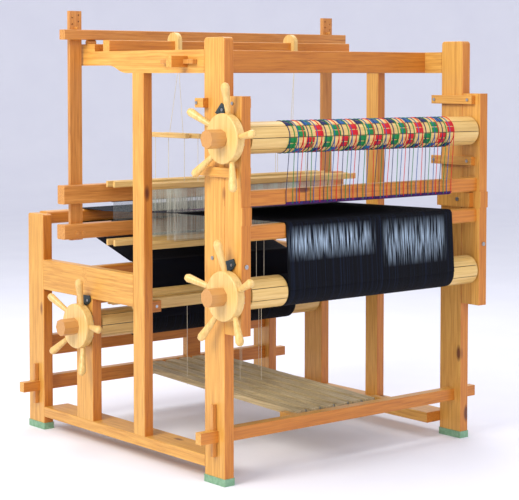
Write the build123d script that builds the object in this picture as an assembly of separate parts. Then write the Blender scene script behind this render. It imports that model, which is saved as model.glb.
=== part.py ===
from build123d import *
import math
import os

# A floor loom with two warp beams, standing on the floor at Z = 0.
# The weaver sits at -Y, the warp comes from the back at +Y, and the
# hand wheels are on the weaver's right at +X.  Millimetres.

# ---- driving dimensions ------------------------------------------------
board = 43                  # thickness of the planed boards
post_width = 116            # width of the heavy posts, along Y
frame_x = 627               # outer faces of the side frames
inner_x = frame_x - board   # inner faces of the side frames
reach_x = 737               # half width over the beater and the hubs

back_y = 543                # back faces of the back posts
front_y = -777              # front faces of the front posts
back_height = 1600
front_height = 893
edge = 3                    # rounding of the long edges

foot_height = 27
foot_lip = 2.5

bottom_rail_z = (53, 95)
bottom_rail_width = 117
side_rail_z = (583, 706)
top_rail_z = (1473, 1557)
top_rail_nose_z = 1502      # underside of the thinner front end
top_rail_front_y = -398
middle_post_y = (-20, 54)
cloth_post_y = (-415, -299)

tenon = 32                  # thickness of the through tenons
tenon_reach = 706           # how far the wedged tenons stand out, from the middle

warp_beam_y = 582
upper_warp_z = 1244
lower_warp_z = 691
cloth_beam_y = -360
cloth_beam_z = 472
drum_radius = 57
drum_half = 576
journal_radius = 25
journal_clearance = 0.05
slat_count = 8
hub_flats = 62

wheel_x = (636, 672)
wheel_radius = 89
handle_count = 5
handle_tip_radius = 184     # centre of the rounded end, from the axle
handle_lean = 16            # degrees away from the frame

ratchet_x = (629, 634)
ratchet_teeth = 24
ratchet_radius = 80
ratchet_root = 72

bracket_y = (543, 639)
bracket_z = (550, 1392)
arm_z = (940, 1003)

shaft_y = (-300, -251, -104, -55)   # four shafts, front to back
shaft_half = 554
shaft_upper_z = (1023, 1047)
shaft_lower_z = (791, 816)
horse_arm = 98
horse_y = (-202, -153)              # middles of the two heddle horses
horse_x = (318, 288)
horse_z = 1225

sword_x = (634, 691)
sword_y = (-370, -353)
sword_z = (815, 1716)
peg_radius = 6
top_beam_z = (1603, 1642)
beater_axis = (-333, 1592)          # Y and Z of the beater's pivot

treadle_count = 6
treadle_width = 48
treadle_pitch = 72
treadle_axis = (417, 189)           # Y and Z of the treadle rod
treadle_front_y = -588
treadle_thick = 22
treadle_rise = 37                   # front ends above the rod
rod_radius = 6
rod_reach = treadle_count * treadle_pitch / 2 + 26

lam_pivot_x = 545
lam_y = (-272, -246, -104, -55)     # one lam under each shaft
lam_half = 9
lam_z = (560, 604)
lam_far_x = -420
lam_block_y = (-328, 10)            # the two blocks that hold the lam rod

os.makedirs("parts", exist_ok=True)
nodes = {}


def block(x, y, z):
    """A box between two limits on each axis."""
    size = [b - a for a, b in (x, y, z)]
    middle = [(a + b) / 2 for a, b in (x, y, z)]
    return Pos(*middle) * Box(*size)


def bar(x, y, z, along, radius=edge):
    """A box whose long edges are rounded."""
    solid = block(x, y, z)
    return fillet(solid.edges().filter_by(along), radius)


def both_sides(make):
    """The same piece on the right and, mirrored, on the left."""
    right = make()
    return [right, mirror(right, about=Plane.YZ)]


def rod(axis_point, direction, radius, length):
    """A round bar from a point along a direction."""
    plane = Plane(origin=axis_point, z_dir=direction)
    return extrude(plane * Circle(radius), length)


def group(*solids):
    """Separate solids kept in one node."""
    return Compound(children=[s for item in solids for s in item.solids()])


# ---- side frames -------------------------------------------------------
def back_post():
    post = block((inner_x, frame_x), (back_y - post_width, back_y), (foot_height - 15, back_height))
    top = post.faces().sort_by(Axis.Z)[-1].edges()
    post = fillet(top.filter_by(Axis.X), 14)
    post = fillet(post.edges().filter_by(Axis.Z), edge)
    mortise = block((inner_x - 1, frame_x + 1), (476, 508), (155, 197))
    return post - mortise


def front_post():
    post = block((inner_x, frame_x), (front_y, front_y + post_width), (foot_height - 15, front_height))
    top = post.faces().sort_by(Axis.Z)[-1].edges()
    post = fillet(top.filter_by(Axis.X), 10)
    post = fillet(post.edges().filter_by(Axis.Z), edge)
    mortise = block((inner_x - 1, frame_x + 1), (-724, -692), (159, 199))
    return post - mortise


def middle_post():
    return bar((frame_x - 40, frame_x), middle_post_y, (bottom_rail_z[1], top_rail_z[0]), Axis.Z)


def cloth_beam_post():
    post = bar((inner_x, frame_x), cloth_post_y, (bottom_rail_z[1], side_rail_z[0]), Axis.Z)
    bore = rod((inner_x - 1, cloth_beam_y, cloth_beam_z), (1, 0, 0),
               journal_radius + journal_clearance, board + 2)
    return post - bore


def bottom_rail():
    return bar((frame_x - bottom_rail_width, frame_x), (front_y + post_width, back_y - post_width),
               bottom_rail_z, Axis.Y)


def side_rail():
    rail = bar((inner_x, frame_x), (front_y + post_width, middle_post_y[0]), side_rail_z, Axis.Y)
    return rail - block((inner_x - 1, frame_x + 1), (-371, -339), (640, 700))


def top_rail():
    low, high = top_rail_z
    nose = top_rail_nose_z
    curve_start, curve_end = -182, -54
    middle = (curve_start + curve_end) / 2
    drop = (nose + low) / 2
    outline = Polyline((curve_start, nose), (top_rail_front_y, nose), (top_rail_front_y, high),
                       (back_y - post_width, high), (back_y - post_width, low), (curve_end, low))
    swing = TangentArc((curve_start, nose), (middle, drop), tangent=(1, 0))
    settle = TangentArc((curve_end, low), (middle, drop), tangent=(-1, 0))
    face = make_face([outline, swing, settle])
    rail = extrude(Plane.YZ.offset(inner_x) * face, board)
    mortise = block((inner_x - 1, frame_x + 1), (298, 330), (1494, 1535))
    return rail - mortise


nodes["back_posts"] = group(*both_sides(back_post))
nodes["front_posts"] = group(*both_sides(front_post))
nodes["middle_posts"] = group(*both_sides(middle_post))
nodes["cloth_beam_posts"] = group(*both_sides(cloth_beam_post))
nodes["bottom_rails"] = group(*both_sides(bottom_rail))
nodes["side_rails"] = group(*both_sides(side_rail))
nodes["top_rails"] = group(*both_sides(top_rail))


def foot(y_low):
    """A cap that a post stands in, open at the top."""
    outer = block((inner_x - foot_lip, frame_x + foot_lip),
                  (y_low - foot_lip, y_low + post_width + foot_lip), (0, foot_height))
    outer = fillet(outer.edges().filter_by(Axis.Z), edge)
    pocket = block((inner_x, frame_x), (y_low, y_low + post_width), (foot_height - 15, foot_height + 1))
    pocket = fillet(pocket.edges().filter_by(Axis.Z), edge)
    return outer - pocket


feet = both_sides(lambda: foot(back_y - post_width)) + both_sides(lambda: foot(front_y))
nodes["feet"] = group(*feet)


# ---- cross members -----------------------------------------------------
def cross_beam(y, z, tenon_y, tenon_z, reach, wedge_slot=None):
    """A beam between the side frames with a through tenon at each end."""
    body = bar((-inner_x, inner_x), y, z, Axis.X)
    body += block((-reach, reach), tenon_y, tenon_z)
    if wedge_slot:
        for cut in both_sides(lambda: block(*wedge_slot)):
            body -= cut
    return body


bottom_wedge = ((frame_x + 1, frame_x + 19), (485, 499), (102, 291))
front_wedge = ((frame_x + 1, frame_x + 19), (-715, -701), (106, 270))
top_wedge = ((frame_x + 1, frame_x + 21), (190, 387), (1506, 1522))

nodes["back_top_beam"] = cross_beam((289, 332), top_rail_z, (298, 330), (1494, 1535), 700, top_wedge)
nodes["back_bottom_beam"] = cross_beam((465, 508), (150, 198), (476, 508), (155, 197), tenon_reach, bottom_wedge)
nodes["front_lower_rail"] = cross_beam((-735, -692), (159, 216), (-724, -692), (159, 199), tenon_reach, front_wedge)

upper_rail = bar((-inner_x, inner_x), (-735, -692), (301, 385), Axis.X)
strut = block((-215, -140), (-730, -700), (216, 301))
nodes["front_upper_rail"] = group(upper_rail, strut)
nodes["breast_beam"] = bar((-inner_x, inner_x), (-758, -698), (848, 900), Axis.X, 12)

knee = bar((-inner_x, inner_x), (-378, -333), (640, 706), Axis.X, 10)
nodes["knee_beam"] = knee + block((-frame_x, frame_x), (-371, -339), (640 + 0.5, 700))
nodes["harness_beam"] = bar((-frame_x, frame_x), (-214, -171), (1557, 1600), Axis.X, 4)


wedges = []
wedges += both_sides(lambda: bar(*bottom_wedge, Axis.Z, 2))
wedges += both_sides(lambda: bar(*front_wedge, Axis.Z, 2))
wedges += both_sides(lambda: bar(*top_wedge, Axis.Y, 2))
nodes["tenon_wedges"] = group(*wedges)


# ---- warp beam brackets behind the back posts --------------------------
def bracket():
    """Two boards with a bearing each, and the arm between them."""
    lower = bar((inner_x, frame_x), bracket_y, (bracket_z[0], arm_z[0]), Axis.Z)
    upper = bar((inner_x, frame_x), bracket_y, (arm_z[1], bracket_z[1]), Axis.Z)
    boards = []
    for solid, height in ((lower, lower_warp_z), (upper, upper_warp_z)):
        bore = rod((inner_x - 1, warp_beam_y, height), (1, 0, 0),
                   journal_radius + journal_clearance, board + 2)
        boards.append(solid - bore)
    arm = block((inner_x, frame_x), (bracket_y[0], 643), arm_z)
    arm += block((inner_x - 22, inner_x), (back_y - post_width, 604), (arm_z[0], arm_z[1] - 4))
    return group(*boards, arm)


nodes["warp_brackets"] = group(*both_sides(bracket))
nodes["back_beam"] = bar((-inner_x, inner_x), (580, 623), (882, 937), Axis.X, 10)
nodes["guide_beam"] = bar((-inner_x, inner_x), (580, 623), (1004, 1060), Axis.X, 8)


def clamp():
    """Inner and outer clamp boards at two heights."""
    inner_upper = bar((inner_x - 22, inner_x), (392, 612), (1350, 1384), Axis.Y, 2)
    inner_lower = bar((inner_x - 22, inner_x), (392, 612), (1107, 1141), Axis.Y, 2)
    outer_upper = bar((frame_x, frame_x + 24), (404, 452), (1350, 1384), Axis.Y, 2)
    outer_lower = bar((frame_x, frame_x + 16), (404, 612), (1107, 1141), Axis.Y, 2)
    return group(inner_upper, inner_lower, outer_upper, outer_lower)


nodes["clamp_boards"] = group(*both_sides(clamp))


right = (1, 0, 0)
left = (-1, 0, 0)
back = (0, 1, 0)


def pawl_pivot(angle):
    """Pivot of a pawl seen from its axle, turned round it by an angle."""
    y, z = -44, 100
    turn = math.radians(angle)
    return (y * math.cos(turn) - z * math.sin(turn), y * math.sin(turn) + z * math.cos(turn))


pawls = {
    "upper_pawl": (warp_beam_y, upper_warp_z, 0),
    "lower_pawl": (warp_beam_y, lower_warp_z, -29),
    "cloth_pawl": (cloth_beam_y, cloth_beam_z, -43),
}


def frame_bolts():
    """Bolt heads, pawl screws and the two rods that treadles and lams turn on."""
    heads = []
    for side, outward, inward in ((1, right, left), (-1, left, right)):
        for z in (1367, 1124):
            for y in (408, 590):
                heads.append(rod((side * (inner_x - 22), y, z), inward, 6, 4))
        heads.append(rod((side * frame_x, 590, 1367), outward, 6, 4))
        heads.append(rod((side * (frame_x + 24), 415, 1367), outward, 6, 4))
        heads.append(rod((side * (inner_x - 22), 540, 970), inward, 8, 4))
        heads.append(rod((side * 606, bracket_y[1], 795), back, 8, 4))
        heads.append(rod((side * frame_x, 476, 815), outward, 7, 4))
    for y, z, angle in pawls.values():
        dy, dz = pawl_pivot(angle)
        pin = rod((frame_x, y + dy, z + dz), right, 4, ratchet_x[1] + 0.5 - frame_x)
        pin += rod((ratchet_x[1] + 0.5, y + dy, z + dz), right, 5.5, 1)
        heads.append(pin)
    heads.append(rod((-rod_reach, *treadle_axis), right, rod_radius, 2 * rod_reach))
    heads.append(rod((lam_pivot_x, lam_block_y[0] - 12, sum(lam_z) / 2), back, rod_radius,
                     lam_block_y[1] - lam_block_y[0] + 24))
    return group(*heads)


nodes["frame_bolts"] = frame_bolts()


# ---- beater rests and harness hooks ------------------------------------
def beater_rest():
    """A block on the top rail with a shallow seat for the beater's bearing."""
    rest = bar((inner_x, frame_x), (-372, -272), (top_rail_z[1], 1586), Axis.X, 2)
    seat = rod((inner_x - 1, *beater_axis), right, 11.05, board + 2)
    return rest - seat


nodes["beater_rests"] = group(*both_sides(beater_rest))


def harness_hook(x):
    """A flat wooden crook that hangs over the harness beam."""
    outline = Polyline((-171, 1600), (-171, 1500), (-150, 1500), (-150, 1606))
    outline += ThreePointArc((-150, 1606), (-183, 1634), (-222, 1600))
    outline += Line((-222, 1600), (-214, 1592))
    outline += Line((-214, 1592), (-214, 1600))
    outline += Line((-214, 1600), (-171, 1600))
    return extrude(Plane.YZ.offset(x - 10) * make_face(outline), 20)


nodes["harness_hooks"] = group(harness_hook(303), harness_hook(-303))


# ---- threads and cloth as plain solids ---------------------------------
warp_x = (-440, 412)
cloth_x = (-434, 396)


def sheet(points, thickness, x):
    """A thin sheet along straight runs in the YZ plane, with round corners."""
    path = Plane.YZ.offset(x[0]) * FilletPolyline(*points, radius=3)
    start = path @ 0
    profile = Plane(origin=start, z_dir=path % 0, x_dir=(1, 0, 0))
    face = profile * Pos((x[1] - x[0]) / 2, 0) * Rectangle(x[1] - x[0], thickness)
    return sweep(face, path=path, transition=Transition.ROUND)


nodes["ground_warp"] = sheet([(640.8, 697), (625, 932), (617, 940), (-20, 928)], 2, warp_x)
nodes["pile_warp"] = sheet([(641, 1236), (625.5, 1050), (625.5, 1006), (615, 1000), (-20, 940)], 2, (-438, 410))
nodes["woven_cloth"] = sheet([(-560, 903), (-756, 903), (-761.5, 895), (-761.5, 845), (-745, 827),
                              (-370, 710), (-334, 708.5), (-330.5, 700), (-330.5, 640), (-290, 500)], 2, cloth_x)


# ---- beater ------------------------------------------------------------
def beater_sword():
    """A long flat arm through the sley and the reed cap, hung by a peg on the top beam."""
    sword = bar(sword_x, sword_y, sword_z, Axis.Z, 2)
    for x, z in ((678, 1689), (678, 1664), (649, 1700), (649, 1675)):
        sword -= rod((x, sword_y[0] - 1, z), back, 3.5, 20)
    peg = rod((662, sword_y[0] - 6, top_beam_z[1] + peg_radius), back, peg_radius, 45)
    return sword + peg


nodes["beater_swords"] = group(*both_sides(beater_sword))

bearing = both_sides(lambda: rod((inner_x + 2, *beater_axis), right, 11, board - 6))
top_beam = bar((-reach_x, reach_x), (-353, -314), top_beam_z, Axis.X)
nodes["beater_top_beam"] = top_beam + bearing[0] + bearing[1]


def grooved_rail(y, z, groove_z, groove_y):
    """A beater rail with a long groove that holds the reed."""
    rail = bar((-reach_x, reach_x), y, z, Axis.X, 6)
    for mortise in both_sides(lambda: block(sword_x, sword_y, (z[0] - 1, z[1] + 1))):
        rail -= mortise
    return rail - block((-505, 505), groove_y, groove_z)


nodes["reed_cap"] = grooved_rail((-374, -325), (960, 1034), (959, 970), (-353, -341))
sley_bolts = both_sides(lambda: group(*[rod((x, -323, 845), back, 7, 4) for x in (650, 680)]))
nodes["sley"] = grooved_rail((-379, -323), (822, 880), (870, 881), (-353, -341)) + sley_bolts
nodes["reed"] = block((-500, 500), (-352, -342), (870.5, 969.5))


# ---- shafts, heddle horses and lams ------------------------------------
def shaft(y):
    upper = bar((-shaft_half, shaft_half), (y - 6, y + 6), shaft_upper_z, Axis.X)
    lower = bar((-shaft_half, shaft_half), (y - 6, y + 6), shaft_lower_z, Axis.X)
    return group(upper, lower)


for number, y in enumerate(shaft_y, 1):
    nodes[f"shaft_{number}"] = shaft(y)


def heddle_horses(y, x):
    """One bar near each side, hung at its middle, a shaft at each end."""
    def horse():
        reach = horse_arm + 20
        body = bar((x - 9, x + 9), (y - reach, y + reach), (horse_z - 10, horse_z + 10), Axis.Y)
        for offset in (-horse_arm, horse_arm):
            notch = block((x - 10, x + 10), (y + offset - 3, y + offset + 3), (horse_z + 7, horse_z + 11))
            body -= notch
        return body
    return group(*both_sides(horse))


nodes["heddle_horses_a"] = heddle_horses(horse_y[0], horse_x[0])
nodes["heddle_horses_b"] = heddle_horses(horse_y[1], horse_x[1])


def lam(y):
    """A cross lever under a shaft, bored for its pivot at the right end."""
    body = bar((lam_far_x, lam_pivot_x + 22), (y - lam_half, y + lam_half), lam_z, Axis.X)
    return body - rod((lam_pivot_x, y - 20, sum(lam_z) / 2), back, 6.05, 40)


for number, y in enumerate(lam_y, 1):
    nodes[f"lam_{number}"] = lam(y)


# ---- treadles ----------------------------------------------------------
def treadle(x):
    """A long board that turns on the rod at its back end."""
    y, z = treadle_axis
    half = treadle_thick / 2
    rear = y + 21
    slope = treadle_rise / (y - treadle_front_y)
    lift = [slope * (y - end) for end in (rear, treadle_front_y)]
    outline = make_face(Polyline((rear, z + lift[0] - half), (rear, z + lift[0] + half),
                                 (treadle_front_y, z + lift[1] + half),
                                 (treadle_front_y, z + lift[1] - half), (rear, z + lift[0] - half)))
    body = extrude(Plane.YZ.offset(x - treadle_width / 2) * outline, treadle_width)
    body = fillet(body.edges().filter_by(Axis.X), 4)
    return body - rod((x - treadle_width, y, z), right, 6.05, 2 * treadle_width)


for number in range(treadle_count):
    x = ((treadle_count - 1) / 2 - number) * treadle_pitch
    nodes[f"treadle_{number + 1}"] = treadle(x)



def treadle_block():
    """A block on the back beam that holds one end of the treadle rod."""
    hole = rod((rod_reach - 21, *treadle_axis), right, rod_radius, 21)
    return block((rod_reach - 20, rod_reach + 6), (399, 465), (173, 198)) - hole


def lam_block(y, post_x):
    """A block on a post that holds one end of the lam rod."""
    hole = rod((lam_pivot_x, y - 13, sum(lam_z) / 2), back, rod_radius, 26)
    return bar((lam_pivot_x - 20, post_x), (y - 12, y + 12), lam_z, Axis.X) - hole


lam_blocks = [lam_block(lam_block_y[0], inner_x), lam_block(lam_block_y[1], frame_x - 40)]
nodes["pivot_blocks"] = group(*both_sides(treadle_block), *lam_blocks)


# ---- beams, hand wheels, ratchets and pawls ----------------------------
def drum(y, z, turn):
    """A slatted beam with a journal at each end and an eight-sided hub."""
    axis = (0, y, z)
    section = Circle(drum_radius)
    for number in range(slat_count):
        angle = 360 / slat_count * number + turn
        section -= Rot(0, 0, angle) * Pos(drum_radius - 2, 0) * Rectangle(8, 2.5)
    plane = Plane(origin=(-drum_half, y, z), x_dir=(0, 1, 0), z_dir=(1, 0, 0))
    body = extrude(plane * section, 2 * drum_half)
    body += rod((drum_half, y, z), right, journal_radius, frame_x + 1 - drum_half)
    body += rod((-drum_half, y, z), left, journal_radius, frame_x - 3 - drum_half)
    hub_plane = Plane(origin=(frame_x + 1, y, z), x_dir=(0, 1, 0), z_dir=(1, 0, 0))
    hub = RegularPolygon(hub_flats / 2, 8, major_radius=False, rotation=turn)
    body += extrude(hub_plane * hub, reach_x - frame_x - 1)
    return body


def hand_wheel(y, z, turn, hub_turn):
    """A thick wooden disc on the hub with turned handles in its rim."""
    plane = Plane(origin=(wheel_x[0], y, z), x_dir=(0, 1, 0), z_dir=(1, 0, 0))
    thick = wheel_x[1] - wheel_x[0]
    body = extrude(plane * Circle(wheel_radius), thick)
    body = fillet(body.edges(), 5)
    root = 70
    rim_x = sum(wheel_x) / 2
    lean = math.radians(handle_lean)
    for number in range(handle_count):
        angle = math.radians(360 / handle_count * number + turn)
        out_y, out_z = math.cos(angle), math.sin(angle)
        direction = Vector(math.sin(lean), math.cos(lean) * out_y, math.cos(lean) * out_z)
        start = Vector(rim_x - (wheel_radius - root) * math.tan(lean), y + root * out_y, z + root * out_z)
        length = (handle_tip_radius - root) / math.cos(lean)
        profile = Polyline((0, 0), (9.5, 0), (9.5, 26), (15.5, length), (11, length + 11),
                           (4, length + 15.5), (0, length + 15.5), close=True)
        handle = revolve(Plane.XZ * make_face(profile), Axis.Z)
        body += Plane(origin=start, z_dir=direction) * handle
    hole = Plane(origin=(frame_x, y, z), x_dir=(0, 1, 0), z_dir=(1, 0, 0))
    hub = RegularPolygon(hub_flats / 2, 8, major_radius=False, rotation=hub_turn)
    return body - extrude(hole * hub, 60)


def ratchet(y, z, phase, hub_turn):
    """A toothed plate between the frame and the hand wheel."""
    points = []
    for number in range(ratchet_teeth):
        step = math.radians(360 / ratchet_teeth * number + phase)
        fall = math.radians(360 / ratchet_teeth * (number + 1) + phase - 0.6)
        points.append((ratchet_radius * math.cos(step), ratchet_radius * math.sin(step)))
        points.append((ratchet_root * math.cos(fall), ratchet_root * math.sin(fall)))
    plane = Plane(origin=(ratchet_x[0], y, z), x_dir=(0, 1, 0), z_dir=(1, 0, 0))
    hub = RegularPolygon(hub_flats / 2, 8, major_radius=False, rotation=hub_turn)
    face = make_face(Polyline(*points, close=True)) - hub
    return extrude(plane * face, ratchet_x[1] - ratchet_x[0])


tip_angle = 130             # where a pawl meets its ratchet, before it is turned
step_gap = 4.2              # degrees from the pawl's tip to the tooth's step, so that it can lift


def pawl(y, z, angle):
    """A flat steel pawl, bored for its screw."""
    tip = math.radians(tip_angle)
    tip_point = (75.5 * math.cos(tip), 75.5 * math.sin(tip))
    outline = Polyline(tip_point, (-68, 84), (-84, 88), (-48, 124), (-30, 112), (-32, 92), close=True)
    plane = Plane(origin=(ratchet_x[0], y, z), x_dir=(0, 1, 0), z_dir=(1, 0, 0))
    face = make_face(outline) - Pos(-44, 100) * Circle(4.05)
    return extrude(plane * (Rot(0, 0, angle) * face), ratchet_x[1] - ratchet_x[0])


beams = {
    "upper_warp": (warp_beam_y, upper_warp_z, 6.9, 0.0, "upper_pawl"),
    "lower_warp": (warp_beam_y, lower_warp_z, 20.6, 22.5, "lower_pawl"),
    "cloth": (cloth_beam_y, cloth_beam_z, 3.0, 0.0, "cloth_pawl"),
}
for name, (y, z, turn, hub_turn, pawl_name) in beams.items():
    angle = pawls[pawl_name][2]
    nodes[f"{name}_beam"] = drum(y, z, hub_turn)
    nodes[f"{name}_wheel"] = hand_wheel(y, z, turn, hub_turn)
    nodes[f"{name}_ratchet"] = ratchet(y, z, tip_angle + angle + step_gap, hub_turn)
    nodes[pawl_name] = pawl(y, z, angle)


for name, shape in nodes.items():
    export_step(shape, f"parts/{name}.step")
print(len(nodes), "nodes written")
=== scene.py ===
# %% [markdown]
# # A floor loom
# The real loom is a pine frame with birch hand wheels, dark and coloured warps,
# and fine steel and cord parts. The frame of solid wood comes ready from the
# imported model, so this script gives those parts their finish and adds what is
# too fine for that model: yarn, cloth, heddles, cords and the reed's wires.

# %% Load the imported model
import math
import bpy
import numpy as np
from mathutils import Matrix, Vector


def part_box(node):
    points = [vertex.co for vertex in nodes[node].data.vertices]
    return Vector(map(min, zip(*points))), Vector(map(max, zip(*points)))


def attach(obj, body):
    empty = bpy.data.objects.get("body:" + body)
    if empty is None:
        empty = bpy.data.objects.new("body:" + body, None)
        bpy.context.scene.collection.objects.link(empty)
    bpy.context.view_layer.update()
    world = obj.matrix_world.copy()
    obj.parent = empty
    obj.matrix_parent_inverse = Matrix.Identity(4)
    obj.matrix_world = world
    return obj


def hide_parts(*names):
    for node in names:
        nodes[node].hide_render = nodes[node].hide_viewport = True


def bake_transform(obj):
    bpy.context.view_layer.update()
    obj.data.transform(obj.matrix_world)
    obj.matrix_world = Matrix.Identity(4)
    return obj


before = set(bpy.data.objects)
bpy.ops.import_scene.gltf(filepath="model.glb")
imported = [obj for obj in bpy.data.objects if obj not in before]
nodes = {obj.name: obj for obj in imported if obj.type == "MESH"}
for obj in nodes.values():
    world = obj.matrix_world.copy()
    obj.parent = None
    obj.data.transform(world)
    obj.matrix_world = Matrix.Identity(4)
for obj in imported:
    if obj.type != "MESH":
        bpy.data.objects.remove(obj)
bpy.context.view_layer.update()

print(len(nodes), "solid parts loaded")

# %% [markdown]
# ## Helpers for finishes
# A finish is a small tree of nodes. One function adds a node with its settings
# and links, and one turns a colour picked on a screen (sRGB) into the linear
# value that the shader wants. Working in millimetres keeps pattern sizes real.

# %% Colours and nodes
MM = 0.001


def linear(hex_code):
    """sRGB hex to linear RGBA: c/12.92 below 0.04045, else ((c + 0.055)/1.055) to the power 2.4."""
    c = np.array([int(hex_code[i:i + 2], 16) for i in (1, 3, 5)]) / 255
    low, high = c / 12.92, ((c + 0.055) / 1.055) ** 2.4
    return (*np.where(c <= 0.04045, low, high).tolist(), 1.0)


def add(tree, kind, settings=None, **links):
    """Adds one node. settings are its properties. links are its inputs by name, or by number as i0, i1
    and so on, each as a value or another node's output."""
    node = tree.nodes.new(kind)
    for name, value in (settings or {}).items():
        setattr(node, name, value)
    for name, value in links.items():
        index = int(name[1:]) if name[0] == "i" and name[1:].isdigit() else name.replace("_", " ")
        socket = node.inputs[index]
        if isinstance(value, bpy.types.NodeSocket):
            tree.links.new(value, socket)
        else:
            socket.default_value = value
    return node


def new_finish(name, **principled):
    """An empty finish: its tree, its shader and the material."""
    material = bpy.data.materials.new(name)
    material.use_nodes = True
    tree = material.node_tree
    shader = tree.nodes["Principled BSDF"]
    for key, value in principled.items():
        shader.inputs[key.replace("_", " ")].default_value = value
    return tree, shader, material


def ramp(tree, factor, stops):
    """A colour ramp through (position, hex) stops."""
    node = add(tree, "ShaderNodeValToRGB", i0=factor)
    elements = node.color_ramp.elements
    while len(elements) < len(stops):
        elements.new(0.5)
    for element, (position, colour) in zip(elements, stops):
        element.position = position
        element.color = linear(colour)
    return node.outputs["Color"]


def bump(tree, shader, height, depth_mm):
    """Gives the surface a relief of that depth from a 0 to 1 height."""
    node = add(tree, "ShaderNodeBump", Strength=1.0, Distance=depth_mm * MM, Height=height)
    tree.links.new(node.outputs["Normal"], shader.inputs["Normal"])


# %% [markdown]
# ## Wood
# Pine boards show long growth lines, darker late wood and a few knots. The
# lines are stretched noise along the board. Faces looking along Y get a darker,
# redder tint, told by the surface's own direction: painted shade for the side
# the light reaches less. Satin lacquer gives a soft gloss with a little coat.

# %% The wood finish
AXES = {"X": 0, "Y": 1, "Z": 2}


def wood(name, along, stops, y_face_shade_tint="#ffffff", y_face_shade_mix=0.0, knots=1.0, roughness=0.42, line_mm=7.0):
    """Boards with grain along one axis: noise whose long axis is 25 times its width makes the lines."""
    tree, shader, material = new_finish(name, Roughness=roughness, IOR=1.5, Coat_Weight=0.12,
                                        Coat_Roughness=0.3)
    coords = add(tree, "ShaderNodeTexCoord")
    across = 1000 / line_mm
    stretch = [across, across, across]
    stretch[AXES[along]] = across / 25
    lines_at = add(tree, "ShaderNodeMapping", Vector=coords.outputs["Object"], Scale=stretch)
    wander = add(tree, "ShaderNodeTexNoise", Vector=coords.outputs["Object"], Scale=3.0, Detail=2.0)
    shifted = add(tree, "ShaderNodeVectorMath", {"operation": "MULTIPLY_ADD"},
                  i0=wander.outputs["Color"], i1=(1.6, 1.6, 1.6), i2=lines_at.outputs["Vector"])
    grain = add(tree, "ShaderNodeTexNoise", Vector=shifted.outputs["Vector"], Scale=1.0, Detail=5.0,
                Roughness=0.62)
    fine_scale = [900.0, 900.0, 900.0]
    fine_scale[AXES[along]] = 14.0
    fine_at = add(tree, "ShaderNodeMapping", Vector=coords.outputs["Object"], Scale=fine_scale)
    fine = add(tree, "ShaderNodeTexNoise", Vector=fine_at.outputs["Vector"], Scale=1.0, Detail=2.0)
    mixed = add(tree, "ShaderNodeMix", {"data_type": "FLOAT"}, Factor=0.22,
                i2=grain.outputs[0], i3=fine.outputs[0])
    colour = ramp(tree, mixed.outputs[0], stops)
    # painted shade: faces looking along Y are tinted darker and redder, for the side the light reaches less
    if y_face_shade_mix:
        parts = add(tree, "ShaderNodeSeparateXYZ", Vector=coords.outputs["Normal"])
        facing = add(tree, "ShaderNodeMath", {"operation": "ABSOLUTE"}, i0=parts.outputs["Y"])
        share = add(tree, "ShaderNodeMath", {"operation": "MULTIPLY"}, i0=facing.outputs[0], i1=y_face_shade_mix)
        y_face_shaded = add(tree, "ShaderNodeMix", {"data_type": "RGBA", "blend_type": "MULTIPLY"},
                     i0=share.outputs[0], i6=colour, i7=linear(y_face_shade_tint))
        colour = y_face_shaded.outputs[2]
    if knots:
        knot_scale = [6.5, 6.5, 6.5]
        knot_scale[AXES[along]] = 2.6
        knots_at = add(tree, "ShaderNodeMapping", Vector=coords.outputs["Object"], Scale=knot_scale,
                       Location=(0.37, 0.21, 0.43))
        cells = add(tree, "ShaderNodeTexVoronoi", Vector=knots_at.outputs["Vector"], Scale=1.0)
        spot = add(tree, "ShaderNodeMapRange", Value=cells.outputs["Distance"], i1=0.055, i2=0.105,
                   i3=knots, i4=0.0)
        knotted = add(tree, "ShaderNodeMix", {"data_type": "RGBA"}, i0=spot.outputs[0], i6=colour,
                      i7=linear("#6b3411"))
        colour = knotted.outputs[2]
    tree.links.new(colour, shader.inputs["Base Color"])
    bump(tree, shader, mixed.outputs[0], 0.25)
    return material


PINE = [(0.30, "#b3782c"), (0.44, "#cb9140"), (0.56, "#d9a24c"), (0.72, "#e5b560")]
PALE = [(0.30, "#c39a52"), (0.46, "#d8b168"), (0.60, "#e3bf79"), (0.75, "#edcf90")]
WARM = [(0.30, "#9c6126"), (0.45, "#be813a"), (0.58, "#cd9148"), (0.74, "#dba45a")]
DULL = [(0.30, "#7d6b4c"), (0.45, "#a8946b"), (0.60, "#c4b187"), (0.75, "#d8c8a0")]
# the #e9bd80 and #f0c090 tints are painted shade on faces looking along Y
pine = {axis: wood(f"lacquered_pine_along_{axis}", axis, PINE, "#e9bd80", 0.9) for axis in AXES}
beater_pine = {axis: wood(f"beater_pine_along_{axis}", axis, WARM, "#f0c090", 0.3) for axis in AXES}
pale = {axis: wood(f"planed_birch_along_{axis}", axis, PALE, knots=0.0) for axis in AXES}
turned = wood("turned_birch", "Z", PALE, knots=0.0, roughness=0.36, line_mm=9.0)
treadle_wood = wood("bare_spruce_treadles", "Y", DULL, knots=0.4, roughness=0.6)

# %% [markdown]
# ## Slatted rollers
# Each roller is eight slats on end discs, with a gap between slats. The
# gap is a real groove in the solid. Inside the groove the surface is nearer to
# the axle, so the finish measures that distance and paints shade there, dark
# as a narrow groove's shadow.

# %% Roller finish
SLATS_TO = 0.5755  # painted shade in the gaps between slats reaches this far each side of the middle
HUB_FROM = 0.629  # beyond the outer face of the frame, where the hub's darker end begins
GAP_SHADE_FULL = 0.0030  # depth below the rim where the painted shade in a gap is full
GAP_SHADE_START = 0.0006  # depth below the rim where the painted shade begins


def middle(name):
    """The middle of a part's box."""
    low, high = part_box(name)
    return (low + high) / 2


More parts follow.
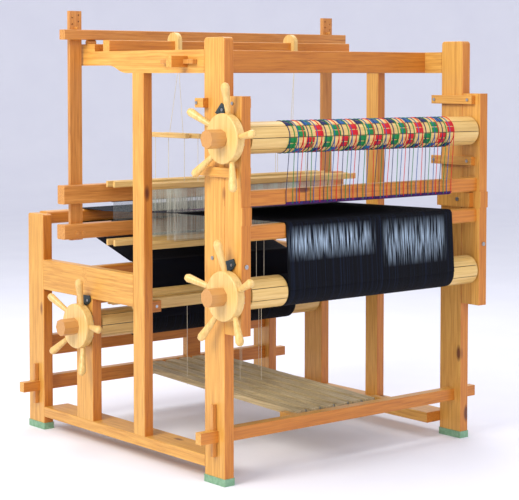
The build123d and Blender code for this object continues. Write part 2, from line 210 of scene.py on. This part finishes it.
def roller_wood(name, centre, radius):
    """Pale slats, with painted shade below the rim: distance from the axle is the length of (0, y, z)."""
    material = wood(name, "X", PALE, knots=0.0, line_mm=9.0)
    tree = material.node_tree
    shader = tree.nodes["Principled BSDF"]
    colour = shader.inputs["Base Color"].links[0].from_socket
    coords = add(tree, "ShaderNodeTexCoord")
    from_axle = add(tree, "ShaderNodeVectorMath", {"operation": "SUBTRACT"}, i0=coords.outputs["Object"],
                    i1=(0.0, centre.y, centre.z))
    flat = add(tree, "ShaderNodeVectorMath", {"operation": "MULTIPLY"}, i0=from_axle.outputs[0],
               i1=(0.0, 1.0, 1.0))
    far = add(tree, "ShaderNodeVectorMath", {"operation": "LENGTH"}, i0=flat.outputs[0])
    parts = add(tree, "ShaderNodeSeparateXYZ", Vector=coords.outputs["Object"])
    end = add(tree, "ShaderNodeMath", {"operation": "ABSOLUTE"}, i0=parts.outputs["X"])
    within = add(tree, "ShaderNodeMath", {"operation": "LESS_THAN"}, i0=end.outputs[0], i1=SLATS_TO)
    # painted shade: inside the grooves the slats turn dark, as a narrow gap's shadow
    deep = add(tree, "ShaderNodeMapRange", Value=far.outputs["Value"], i1=radius - GAP_SHADE_FULL,
               i2=radius - GAP_SHADE_START, i3=1.0, i4=0.0)
    gap = add(tree, "ShaderNodeMath", {"operation": "MULTIPLY"}, i0=deep.outputs[0], i1=within.outputs[0])
    dark = add(tree, "ShaderNodeMix", {"data_type": "RGBA"}, i0=gap.outputs[0], i6=colour,
               i7=linear("#2a1608"))
    hub = add(tree, "ShaderNodeMath", {"operation": "GREATER_THAN"}, i0=end.outputs[0], i1=HUB_FROM)
    redder = add(tree, "ShaderNodeMath", {"operation": "MULTIPLY"}, i0=hub.outputs[0], i1=0.75)
    hub_wood = add(tree, "ShaderNodeMix", {"data_type": "RGBA"}, i0=redder.outputs[0],
                   i6=dark.outputs[2], i7=linear("#b87a3c"))
    tree.links.new(hub_wood.outputs[2], shader.inputs["Base Color"])
    return material


ROLLERS = {"upper": "upper_warp_beam", "lower": "lower_warp_beam", "cloth": "cloth_beam"}
axles = {short: middle(node) for short, node in ROLLERS.items()}
beam_low, beam_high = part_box("cloth_beam")
drum_radius = (beam_high.z - beam_low.z) / 2
print("roller radius in mm:", round(drum_radius / MM, 1))

# %% [markdown]
# ## Metal and foot caps
# Bolt heads are zinc plated, the pawls are enamelled steel, and the feet are
# moulded caps in a soft green. Metals keep the shader's own index.

# %% Metal, enamel and rubber
def plain(name, colour, worn, noise_mm, relief_mm=0.05, **principled):
    """One colour broken up by noise at a real grain size, with a slight relief."""
    tree, shader, material = new_finish(name, **principled)
    coords = add(tree, "ShaderNodeTexCoord")
    noise = add(tree, "ShaderNodeTexNoise", Vector=coords.outputs["Object"], Scale=1000 / noise_mm,
                Detail=4.0)
    tree.links.new(ramp(tree, noise.outputs[0], [(0.35, colour), (0.7, worn)]), shader.inputs["Base Color"])
    bump(tree, shader, noise.outputs[0], relief_mm)
    return material


zinc = plain("zinc_plated_steel", "#a9abad", "#c6c8c9", 6, Metallic=1.0, Roughness=0.32)
enamel = plain("dark_enamelled_steel", "#23343a", "#3c4d52", 9, Roughness=0.38, Metallic=0.4)
caps = plain("moulded_green_rubber", "#6f9a78", "#8ab08e", 12, Roughness=0.6)
knot_cord = plain("linen_cord", "#cfc6ae", "#e6dfc9", 3, Roughness=0.85)
heddle_cord = plain("polyester_heddle_cord", "#cdd3c4", "#e6e9dc", 4, Roughness=0.7)
reed_wire = plain("flat_reed_wire", "#7f8a86", "#a9b2ad", 5, Metallic=0.9, Roughness=0.35)
reed_band = plain("dark_reed_band", "#1f2226", "#30343a", 7, Roughness=0.6)

# %% Give the solid parts their finish
BY_NAME = {"feet": caps, "frame_bolts": zinc, "tenon_wedges": beater_pine["Z"],
           "reed_cap": beater_pine["X"], "sley": beater_pine["X"], "beater_top_beam": beater_pine["X"],
           "beater_swords": beater_pine["Z"], "harness_hooks": pale["Z"]}
ALONG = {"back_posts": "Z", "front_posts": "Z", "middle_posts": "Z", "cloth_beam_posts": "Z",
         "warp_brackets": "Z", "bottom_rails": "Y", "side_rails": "Y", "top_rails": "Y",
         "clamp_boards": "Y", "beater_rests": "Y", "heddle_horses_a": "Y", "heddle_horses_b": "Y"}
for name, obj in nodes.items():
    if name in BY_NAME:
        finish = BY_NAME[name]
    elif name.endswith("_ratchet"):
        finish = zinc
    elif name.endswith("_pawl"):
        finish = enamel
    elif name.endswith("_wheel"):
        finish = turned
    elif name in ROLLERS.values():
        finish = roller_wood(f"slatted_birch_{name}", middle(name), drum_radius)
    elif name.startswith("treadle"):
        finish = treadle_wood
    elif name.startswith(("shaft", "heddle_horses", "lam")):
        finish = pale[ALONG.get(name, "X")]
    else:
        finish = pine[ALONG.get(name, "X")]
    obj.data.materials.clear()
    obj.data.materials.append(finish)

# %% [markdown]
# ## Helpers for new pieces
# A new piece is a grid of points worked out as whole arrays. Threads, cords and
# wires are many thin tubes in one mesh: every tube has the same few sides, and
# numpy writes all of them at once.

# %% Meshes from arrays
rng = np.random.default_rng(7)


def piece(name, points, faces, finish, body=None, uv=None):
    """Puts points (n, 3) and quads (m, 4) into a named mesh, with one material."""
    mesh = bpy.data.meshes.new(name)
    mesh.from_pydata(points.tolist(), [], faces.tolist())
    mesh.materials.append(finish)
    if uv is not None:
        layer = mesh.uv_layers.new(name="UVMap")
        layer.data.foreach_set("uv", uv[faces.ravel()].astype(np.float32).ravel())
    mesh.polygons.foreach_set("use_smooth", np.ones(len(mesh.polygons), bool))
    mesh.update()
    obj = bpy.data.objects.new(name, mesh)
    bpy.context.scene.collection.objects.link(obj)
    if body:
        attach(obj, body)
    return obj


def grid_faces(rows, columns, close=False):
    """Quads of a rows by columns grid of points, joined round the columns when close is true."""
    r, c = np.meshgrid(np.arange(rows - 1), np.arange(columns if close else columns - 1), indexing="ij")
    n = (c + 1) % columns
    quads = np.stack([r * columns + c, r * columns + n, (r + 1) * columns + n, (r + 1) * columns + c], -1)
    return quads.reshape(-1, 4)


def tubes(paths, radius, sides=5):
    """Many tubes of one radius. paths is (tubes, points, 3). A ring is centre + radius (cos a, sin a) in
    a plane square to the path, found from the path's direction and a fixed side vector."""
    paths = np.asarray(paths, float)
    count, length, _ = paths.shape
    ahead = np.gradient(paths, axis=1)
    ahead /= np.linalg.norm(ahead, axis=2, keepdims=True)
    side = np.zeros_like(ahead)
    side[..., 0] = 1.0
    side[np.abs(ahead[..., 0]) > 0.9] = (0.0, 1.0, 0.0)
    first = np.cross(ahead, side)
    first /= np.linalg.norm(first, axis=2, keepdims=True)
    second = np.cross(ahead, first)
    turn = np.linspace(0, 2 * np.pi, sides, endpoint=False)
    ring = first[:, :, None] * np.cos(turn)[:, None] + second[:, :, None] * np.sin(turn)[:, None]
    points = (paths[:, :, None] + radius * ring).reshape(-1, 3)
    one = grid_faces(length, sides, close=True)
    starts = (np.arange(count) * length * sides)[:, None, None]
    walls = (one[None] + starts).reshape(-1, 4)
    return points, walls


def line(start, end, count=2):
    """count points from start to end."""
    t = np.linspace(0, 1, count)[:, None]
    return np.asarray(start) * (1 - t) + np.asarray(end) * t


# %% [markdown]
# ## The warps as sheets of yarn
# Hundreds of dark threads lie side by side from the lower roller over the back
# beam, so close that they read as a ribbed sheet. The sheet follows the path of
# its plain solid in the frame. Stripes along the yarn come from the sheet's own
# UV map, and pale streaks are painted light, where light passes between spread threads.

# %% Yarn finish
def yarn(name, stops, threads, light_streak_colour="#a9bfd2", light_streak_at=None):
    """Threads across UV x. Each thread's tone is noise, its round back a sine, and streaks are painted light,
    pale where light passes between threads.
    """
    tree, shader, material = new_finish(name, Roughness=0.9, Sheen_Weight=0.02, Specular_IOR_Level=0.12)
    uv = add(tree, "ShaderNodeUVMap", {"uv_map": "UVMap"})
    parts = add(tree, "ShaderNodeSeparateXYZ", Vector=uv.outputs["UV"])
    wide = add(tree, "ShaderNodeMath", {"operation": "MULTIPLY"}, i0=parts.outputs["X"], i1=float(threads))
    cell = add(tree, "ShaderNodeMath", {"operation": "FLOOR"}, i0=wide.outputs[0])
    shade = add(tree, "ShaderNodeTexWhiteNoise", {"noise_dimensions": "1D"}, W=cell.outputs[0])
    colour = ramp(tree, shade.outputs["Value"], stops)
    turn = add(tree, "ShaderNodeMath", {"operation": "MULTIPLY"}, i0=wide.outputs[0], i1=math.pi)
    wave = add(tree, "ShaderNodeMath", {"operation": "SINE"}, i0=turn.outputs[0])
    round_back = add(tree, "ShaderNodeMath", {"operation": "ABSOLUTE"}, i0=wave.outputs[0])
    # painted light: pale streaks in the given windows of the sheet, where light passes between the threads
    if light_streak_at:
        stretched = add(tree, "ShaderNodeMapping", Vector=uv.outputs["UV"], Scale=(150.0, 7.0, 1.0))
        noise = add(tree, "ShaderNodeTexNoise", Vector=stretched.outputs["Vector"], Scale=1.0, Detail=4.0)
        ragged = add(tree, "ShaderNodeMapRange", Value=noise.outputs[0], i1=0.43, i2=0.64, i3=0.0, i4=0.85)
        total = None
        for x_low, x_high, y_low, y_high in light_streak_at:
            edges = []
            for socket, low, high in (("X", x_low, x_high), ("Y", y_low, y_high)):
                soft = (0.12 if socket == "X" else 0.42) * (high - low)
                rise = add(tree, "ShaderNodeMapRange", Value=parts.outputs[socket], i1=low, i2=low + soft)
                fall = add(tree, "ShaderNodeMapRange", Value=parts.outputs[socket], i1=high - soft,
                           i2=high, i3=1.0, i4=0.0)
                both = add(tree, "ShaderNodeMath", {"operation": "MULTIPLY"}, i0=rise.outputs[0],
                           i1=fall.outputs[0])
                edges.append(both.outputs[0])
            window = add(tree, "ShaderNodeMath", {"operation": "MULTIPLY"}, i0=edges[0], i1=edges[1])
            if total is not None:
                window = add(tree, "ShaderNodeMath", {"operation": "MAXIMUM"}, i0=total, i1=window.outputs[0])
            total = window.outputs[0]
        share = add(tree, "ShaderNodeMath", {"operation": "MULTIPLY"}, i0=total, i1=ragged.outputs[0])
        lit = add(tree, "ShaderNodeMix", {"data_type": "RGBA"}, i0=share.outputs[0], i6=colour,
                  i7=linear(light_streak_colour))
        colour = lit.outputs[2]
    tree.links.new(colour, shader.inputs["Base Color"])
    bump(tree, shader, round_back.outputs[0], 0.8)
    return material


DARK = [(0.0, "#030408"), (0.6, "#06080f"), (0.88, "#0a1020"), (1.0, "#142038")]
PURPLE = [(0.0, "#2a1038"), (0.4, "#41205c"), (0.7, "#5a1f55"), (1.0, "#26306e")]
dark_yarn = yarn("dark_cotton_warp", DARK, 420, light_streak_colour="#c6dcf0",
                 light_streak_at=[(0.48, 1.0, 0.11, 0.26), (0.04, 0.45, 0.05, 0.26)])
dark_roll = yarn("dark_cotton_wound", DARK, 420)
purple_yarn = yarn("purple_pile_warp", PURPLE, 210)


# %% Sheets along a path
def along(corners, radius, step=0.012):
    """Points along straight runs with round corners in the YZ plane: each corner is a quadratic curve
    from radius before it to radius after it, and all runs are cut into steps."""
    corners = np.asarray(corners, float) * MM
    radius = radius * MM
    out = [corners[0]]
    for a, b, c in zip(corners[:-2], corners[1:-1], corners[2:]):
        before = min(radius, 0.45 * np.linalg.norm(a - b))
        after = min(radius, 0.45 * np.linalg.norm(c - b))
        p = b + (a - b) / np.linalg.norm(a - b) * before
        q = b + (c - b) / np.linalg.norm(c - b) * after
        t = np.linspace(0, 1, 5)[:, None]
        out.extend((1 - t) ** 2 * p + 2 * t * (1 - t) * b + t ** 2 * q)
    out.append(corners[-1])
    out = np.array(out)
    length = np.r_[0, np.cumsum(np.linalg.norm(np.diff(out, axis=0), axis=1))]
    even = np.linspace(0, length[-1], max(2, int(length[-1] / step)))
    return np.stack([np.interp(even, length, out[:, i]) for i in (0, 1)], -1), length[-1]


def strip(name, corners, x_low, x_high, finish, thickness, radius, columns, ripple=0.0):
    """A closed sheet: two faces half a thickness each side of the path, joined round the rim."""
    path, length = along(corners, radius)
    ahead = np.gradient(path, axis=0)
    ahead /= np.linalg.norm(ahead, axis=1, keepdims=True)
    out = np.stack([-ahead[:, 1], ahead[:, 0]], -1)
    x = np.linspace(x_low, x_high, columns) * MM
    wave = ripple * MM * np.sin(x / 0.031)[None, :] * np.sin(np.linspace(0, np.pi, len(path)))[:, None]
    layers, uvs = [], []
    for side in (0.5, -0.5):
        offset = wave + side * thickness * MM
        y = path[:, :1] + out[:, :1] * offset
        z = path[:, 1:] + out[:, 1:] * offset
        layers.append(np.stack([np.broadcast_to(x, y.shape), y, z], -1).reshape(-1, 3))
        u, v = np.meshgrid(np.linspace(0, 1, columns), np.linspace(0, 1, len(path)))
        uvs.append(np.stack([u, v], -1).reshape(-1, 2))
    rows = len(path)
    top = grid_faces(rows, columns)
    size = rows * columns
    index = np.arange(size).reshape(rows, columns)
    rim = np.r_[index[0], index[1:, -1], index[-1, -2::-1], index[-2:0:-1, 0]]
    after = np.roll(rim, -1)
    wall = np.stack([after, rim, rim + size, after + size], -1)
    faces = np.concatenate([top, top[:, ::-1] + size, wall])
    made = piece(name, np.concatenate(layers), faces, finish, "frame", np.concatenate(uvs))
    print(name, "is", round(length, 3), "m long and", round((x_high - x_low) * MM, 3), "m wide")
    return made, length


warp_low, warp_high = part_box("ground_warp")
left, right_edge = warp_low.x / MM, warp_high.x / MM
BACK_PATH = [(640.8, 697), (625, 932), (617, 940), (-20, 928)]
ground, _ = strip("ground_warp_sheet", BACK_PATH, left, right_edge, dark_yarn, 1.6, 8, 120, 0.5)
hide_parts("ground_warp")

# %% [markdown]
# ## Coloured pile threads
# A second warp of bright threads comes off the upper roller. Forty
# threads hang well apart down to the guide beam, pass behind it and go forward
# as a thin purple sheet. Each is a real thread here, in one of four colours.

# %% Pile threads
THREADS = {"red": "#c8141f", "blue": "#1f5590", "green": "#0f7a3a", "navy": "#1a2450"}
thread_finish = {n: plain(f"{n}_wool_thread", c, c, 4, Roughness=0.85) for n, c in THREADS.items()}
thread_x = np.linspace(left + 6, right_edge - 6, 40) * MM + rng.normal(0, 0.0022, 40)
for k, (colour, finish) in enumerate(thread_finish.items()):
    mine = thread_x[k::len(THREADS)]
    paths = []
    for x in mine:
        lean = rng.normal(0, 0.004)
        down = line((x, 0.6405, 1.236), (x + lean, 0.6262, 1.05), 5)
        rest = line((x + lean, 0.6262, 1.05), (x + lean, 0.6262, 1.006), 3)[1:]
        paths.append(np.concatenate([down, rest]))
    obj = piece(f"pile_threads_{colour}", *tubes(paths, 1.3 * MM, 6), finish, "frame")
PILE_PATH = [(626.2, 1012), (625.5, 1005), (615, 1000), (-20, 940)]
pile, _ = strip("pile_warp_sheet", PILE_PATH, left + 2, right_edge - 2, purple_yarn, 1.0, 5, 90)
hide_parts("pile_warp")

# %% [markdown]
# ## Wound yarn and cloth on the rollers
# The yarn left on a roller is wound in even layers. Its surface is a cylinder
# whose radius rises and falls a little with each bundle of threads, and whose
# ends slope in, as wound yarn slips at its edges.

# %% Wound layers
def wound_threads(name, centre, x_at, radius_mm, finish):
    """Each thread circles the roller once: a ring of points at one X, leaning by half a thread."""
    angle = np.linspace(0, 2 * np.pi, 49)
    rings = [np.stack([x + 0.0010 * np.sin(angle / 2), centre.y + radius_mm * MM * np.cos(angle),
                       centre.z + radius_mm * MM * np.sin(angle)], -1) for x in x_at]
    obj = piece(name, *tubes(rings, 1.7 * MM, 6), finish, "upper_roller")


def crossed_bands(name, centre, x_low, x_high, radius_mm, finishes):
    """Short tufts of wool across the roller: patches between the threads, each a thin curved plate."""
    span = 2 * np.pi / 16
    for k, (colour, finish) in enumerate(finishes.items()):
        points, faces, first = [], [], 0
        for row in range(16):
            for column in range(20):
                if (row // 2 + column) % 2 or (column + row // 4) % 4 != k:
                    continue
                x = x_low + (x_high - x_low) * (column + np.array([0.06, 0.94])) / 20
                angle = row * span + span * np.linspace(0.08, 0.92, 5)
                for r in (radius_mm, radius_mm + 0.8):
                    a, v = np.meshgrid(angle, x, indexing="ij")
                    points.append(np.stack([v, centre.y + r * MM * np.cos(a), centre.z + r * MM * np.sin(a)],
                                           -1).reshape(-1, 3))
                grid = grid_faces(5, 2)
                index = np.arange(10).reshape(5, 2)
                rim = np.r_[index[0], index[1:, 1], index[-1, :1], index[-2:0:-1, 0]]
                after = np.roll(rim, -1)
                wall = np.stack([after, rim, rim + 10, after + 10], -1)
                faces += [grid + first, grid[:, ::-1] + 10 + first, wall + first]
                first += 20
        if points:
            obj = piece(f"{name}_{colour}", np.concatenate(points), np.concatenate(faces), finish,
                        "upper_roller")


def wound(name, centre, radius_mm, x_low, x_high, finish, body):
    """A closed ring: outer radius r(x) with sloping ends, inner radius just on the slats."""
    columns, around = 90, 64
    x = np.linspace(x_low, x_high, columns)
    edge = np.clip(np.minimum(x - x_low, x_high - x) / 5, 0, 1)
    inner = drum_radius / MM + 0.3
    outer = inner + (radius_mm - inner) * (0.25 + 0.75 * edge) + 0.25 * np.sin(x / 3.7) * edge
    profile_x = np.r_[x, x[::-1], x[0]]
    profile_r = np.r_[outer, np.full(columns, inner), outer[0]]
    angle = np.linspace(0, 2 * np.pi, around + 1)
    px = np.broadcast_to(profile_x, (around + 1, len(profile_x))) * MM
    y = centre.y + np.cos(angle)[:, None] * profile_r * MM
    z = centre.z + np.sin(angle)[:, None] * profile_r * MM
    points = np.stack([px, y, z], -1)[:-1, :-1]
    rows, cols = points.shape[:2]
    r, c = np.meshgrid(np.arange(rows), np.arange(cols), indexing="ij")
    n, m = (r + 1) % rows, (c + 1) % cols
    faces = np.stack([r * cols + c, r * cols + m, n * cols + m, n * cols + c], -1).reshape(-1, 4)
    u = np.broadcast_to(np.r_[np.linspace(0, 1, columns), np.linspace(1, 0, columns)], (rows, cols))
    v = np.broadcast_to(np.linspace(0, 1, rows)[:, None], (rows, cols))
    obj = piece(name, points.reshape(-1, 3), faces[:, ::-1], finish, body,
                np.stack([u, v], -1).reshape(-1, 2))


for k, (colour, finish) in enumerate(thread_finish.items()):
    wound_threads(f"wound_threads_{colour}", axles["upper"], thread_x[k::len(THREADS)], 58.2, finish)
crossed_bands("wound_bands", axles["upper"], left * MM, right_edge * MM, 57.3, thread_finish)
wound("wound_ground_warp", axles["lower"], 57.9, left, right_edge, dark_roll, "lower_roller")
wound("wound_cloth", axles["cloth"], 66, left + 6, right_edge - 16, dark_roll, "cloth_roller")


# %% [markdown]
# ## The cloth
# The woven cloth runs from the fell over the breast beam, down in front of it
# and back over the knee beam to its roller. It is stretched flat, with a fine
# weave: two crossed sine waves, one per thread each way.

# %% Woven cloth
def weave(name, low_hex, high_hex, across, lengthwise):
    """Plain weave: height is sin(u) times sin(v), so threads pass over and under by turns."""
    tree, shader, material = new_finish(name, Roughness=0.9, Sheen_Weight=0.03, Specular_IOR_Level=0.12)
    uv = add(tree, "ShaderNodeUVMap", {"uv_map": "UVMap"})
    parts = add(tree, "ShaderNodeSeparateXYZ", Vector=uv.outputs["UV"])
    waves = []
    for socket, count in (("X", across), ("Y", lengthwise)):
        turn = add(tree, "ShaderNodeMath", {"operation": "MULTIPLY"}, i0=parts.outputs[socket],
                   i1=count * math.pi)
        waves.append(add(tree, "ShaderNodeMath", {"operation": "SINE"}, i0=turn.outputs[0]).outputs[0])
    height = add(tree, "ShaderNodeMath", {"operation": "MULTIPLY"}, i0=waves[0], i1=waves[1])
    level = add(tree, "ShaderNodeMapRange", Value=height.outputs[0], i1=-1.0, i2=1.0)
    tree.links.new(ramp(tree, level.outputs[0], [(0.2, low_hex), (0.8, high_hex)]),
                   shader.inputs["Base Color"])
    bump(tree, shader, level.outputs[0], 0.5)
    return material


cloth_low, cloth_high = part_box("woven_cloth")
CLOTH_PATH = [(-560, 903), (-756, 903), (-761.5, 895), (-761.5, 845), (-745, 827), (-370, 710),
              (-334, 708.5), (-330.5, 700), (-330.5, 640), (-293.6, 480)]
cloth, cloth_length = strip("cloth_over_beams", CLOTH_PATH, cloth_low.x / MM, cloth_high.x / MM,
                            weave("dark_plain_weave", "#05060b", "#0c1120", 280, 420), 1.4, 9, 60)
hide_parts("woven_cloth")

# %% [markdown]
# ## Threads through the shafts, and the heddles
# Behind the cloth the warp divides: every fourth thread belongs to one shaft.
# Each quarter runs straight from the still frame to its shaft and on to the fell.
# Heddles are cord loops with a small eye.

# %% Shed and heddles
FELL = (-0.56, 0.903)
REAR = (-0.02, 0.929)
shed_yarn = plain("dark_cotton_thread", "#070a14", "#101830", 9, Roughness=0.9)
shafts = {}
for i in range(1, 5):
    low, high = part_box(f"shaft_{i}")
    shafts[i] = ((low.y + high.y) / 2, low.z, high.z)
bar_height = 0.0245
for i, (y, low, high) in shafts.items():
    level = FELL[1] + (REAR[1] - FELL[1]) * (y - FELL[0]) / (REAR[0] - FELL[0])
    x = np.arange(left + 3 + 2 * i, right_edge - 3, 8.0) * MM
    for part, (end_y, end_z) in (("rear", REAR), ("fell", FELL)):
        paths = np.stack([line((v, end_y, end_z), (v, y, level), 12) for v in x])
        obj = piece(f"shed_{i}_{part}", *tubes(paths, 1.0 * MM, 4), shed_yarn)
        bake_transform(obj)
    wires = []
    for v in np.arange(left + 3 + 2 * i, right_edge - 3, 6.0) * MM:
        spread = rng.normal(0, 0.0008)
        wires.append(np.array([(v, y, high - bar_height), (v + spread, y, level + 0.012),
                               (v + 0.0014, y + 0.001, level), (v + spread, y, level - 0.012),
                               (v, y, low + bar_height)]))
    piece(f"heddles_{i}", *tubes(wires, 0.9 * MM, 4), heddle_cord, f"shaft_{i}")

# %% [markdown]
# ## Reed
# The reed is a comb of flat steel wires between two bound laths. It stands in
# the grooves of the beater, so it moves with it. The wires are drawn thicker
# and further apart than real ones, so that they show at this size.

# %% Reed wires and bands
reed_low, reed_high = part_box("reed")
reed_y = (reed_low.y + reed_high.y) / 2
dents = np.stack([line((v, reed_y, reed_low.z + 0.012), (v, reed_y, reed_high.z - 0.012))
                  for v in np.arange(reed_low.x + 0.012, reed_high.x - 0.008, 0.0042)])
reed = piece("reed_wires", *tubes(dents, 0.9 * MM, 4), reed_wire, "beater")
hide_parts("reed")


def lath(name, a, b, size_y, size_z, finish, body):
    """A bar along X with rounded long edges: its section is a superellipse of power four."""
    angle = np.linspace(0, 2 * np.pi, 24, endpoint=False)
    cosine, sine = np.cos(angle), np.sin(angle)
    y = np.sign(cosine) * np.sqrt(np.abs(cosine)) * size_y / 2
    z = np.sign(sine) * np.sqrt(np.abs(sine)) * size_z / 2
    scale = np.array([0.0, 0.9, 1.0, 1.0, 0.9, 0.0])[:, None]
    x = np.array([a[0], a[0], a[0] + 0.002, b[0] - 0.002, b[0], b[0]])[:, None]
    points = np.stack([np.broadcast_to(x, (6, 24)), a[1] + y * scale, a[2] + z * scale], -1)
    obj = piece(name, points.reshape(-1, 3), grid_faces(6, 24, close=True), finish, body)


for which, z in (("lower", reed_low.z + 0.007), ("upper", reed_high.z - 0.007)):
    lath(f"reed_band_{which}", (reed_low.x, reed_y, z), (reed_high.x, reed_y, z), 0.009, 0.012,
         reed_band, "beater")

# %% [markdown]
# ## Cords of the harness
# Linen cords hang the two pairs of heddle horses from the hooks, the shafts
# from the horses, and tie lams and treadles below. Each taut cord is a thin
# tube. A cord below a shaft moves as the shaft does. A treadle's cord is a
# fixed tube from its lam down to the treadle.

# %% Harness cords
def cords(name, runs, body=None, radius=1.1):
    """Thin tubes along straight runs, all with the same number of points."""
    return piece(name, *tubes(np.stack([line(a, b, 10) for a, b in runs]), radius * MM, 6), knot_cord, body)


horse = {k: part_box(f"heddle_horses_{k}") for k in "ab"}
horse_of = {1: "a", 2: "b", 3: "a", 4: "b"}
hook_low, hook_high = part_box("harness_hooks")
for k, (low, high) in horse.items():
    x = high.x - 0.009
    y = (low.y + high.y) / 2
    top = hook_low.z + 0.004
    runs = [((s * x, y, high.z), (s * (hook_high.x - 0.010), hook_high.y - 0.011, top)) for s in (1, -1)]
    cords(f"horse_cords_{k}", runs, "frame")
for i, (y, low, high) in shafts.items():
    h_low, h_high = horse[horse_of[i]]
    x = h_high.x - 0.009
    cords(f"shaft_cords_{i}", [((s * x, y, high), (s * x, y, h_low.z + 0.002)) for s in (1, -1)],
                  f"shaft_{i}")
    lam_low, lam_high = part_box(f"lam_{i}")
    lam_y = (lam_low.y + lam_high.y) / 2
    cords(f"lam_cords_{i}", [((0.05 * s, y, low), (0.05 * s, lam_y, lam_high.z)) for s in (1, -1)],
                  f"shaft_{i}")

# %% Treadle cords
TREADLE_THICK = 0.022
for i in range(1, 7):
    low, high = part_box(f"treadle_{i}")
    x = (low.x + high.x) / 2
    lam_low, lam_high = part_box(f"lam_{(i - 1) % 4 + 1}")
    y = (lam_low.y + lam_high.y) / 2
    share = (high.y - y) / (high.y - low.y)
    bottom = low.z + share * (high.z - low.z - TREADLE_THICK)
    obj = cords(f"treadle_cords_{i}", [((x, y, lam_low.z), (x, y, bottom - 0.012))], None, 1.0)
    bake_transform(obj)

# %% [markdown]
# ## Floor, light and camera
# A pale floor rises all round into a wall, like a round studio, so every view
# has the same plain ground. It is flat to 11 m, turns up through a quarter
# circle of 3 m radius, and stands straight from there to 6 m high. Large soft
# lights and a bright sky keep the shadows weak.

# %% Studio
backdrop = plain("studio_paper", "#eeeef6", "#f1f1f8", 400, 0.01, Roughness=0.95)
FLAT_TO = 11  # metres
BEND = 3
WALL = 6
AROUND = 72
bend_angle = np.linspace(0.1, np.pi / 2, 10)
radius = np.r_[0.001, np.linspace(0.5, FLAT_TO, 12), FLAT_TO + BEND * np.sin(bend_angle), FLAT_TO + BEND]
height = np.r_[np.zeros(13), BEND * (1 - np.cos(bend_angle)), WALL]
round_angle = np.linspace(0, 2 * np.pi, AROUND, endpoint=False)
bowl = np.stack([radius[:, None] * np.cos(round_angle), radius[:, None] * np.sin(round_angle),
                 np.broadcast_to(height[:, None], (len(radius), AROUND))], -1)
floor = piece("studio_floor", bowl.reshape(-1, 3), grid_faces(len(radius), AROUND, close=True), backdrop)

world = bpy.data.worlds.new("studio_sky")
bpy.context.scene.world = world
world.use_nodes = True
world.node_tree.nodes["Background"].inputs["Color"].default_value = linear("#eceef6")
world.node_tree.nodes["Background"].inputs["Strength"].default_value = 0.92


def soft_light(name, place, target, size, watts, colour):
    """A square area light aimed at a point."""
    data = bpy.data.lights.new(name, "AREA")
    data.size = size
    data.energy = watts
    data.color = linear(colour)[:3]
    lamp = bpy.data.objects.new(name, data)
    lamp.location = place
    lamp.rotation_euler = (Vector(target) - Vector(place)).to_track_quat("-Z", "Y").to_euler()
    bpy.context.scene.collection.objects.link(lamp)


soft_light("key_light", (4.2, 0.6, 3.6), (0, 0, 0.8), 2.4, 190, "#fffaf0")
soft_light("fill_light", (0.8, 4.8, 2.6), (0, 0, 0.8), 3.0, 70, "#f3f5ff")
soft_light("top_light", (-1.0, -1.5, 4.6), (0, 0, 0.6), 3.0, 90, "#ffffff")

# %% Camera
HEADING = -2.26  # radians from +X
PITCH = math.radians(3.146)
forward = Vector((math.cos(HEADING), math.sin(HEADING), 0))
camera_data = bpy.data.cameras.new("camera")
camera_data.lens = 111.33
camera_data.sensor_width = 36
camera_data.sensor_fit = "HORIZONTAL"
camera_data.shift_y = -0.17
camera_data.clip_end = 60
camera = bpy.data.objects.new("camera", camera_data)
camera.location = (4.120, 4.977, 1.471)
aim = forward * math.cos(PITCH) - Vector((0, 0, math.sin(PITCH)))
camera.rotation_euler = aim.to_track_quat("-Z", "Y").to_euler()
bpy.context.scene.collection.objects.link(camera)
bpy.context.scene.camera = camera
bpy.context.scene.view_settings.view_transform = "Standard"
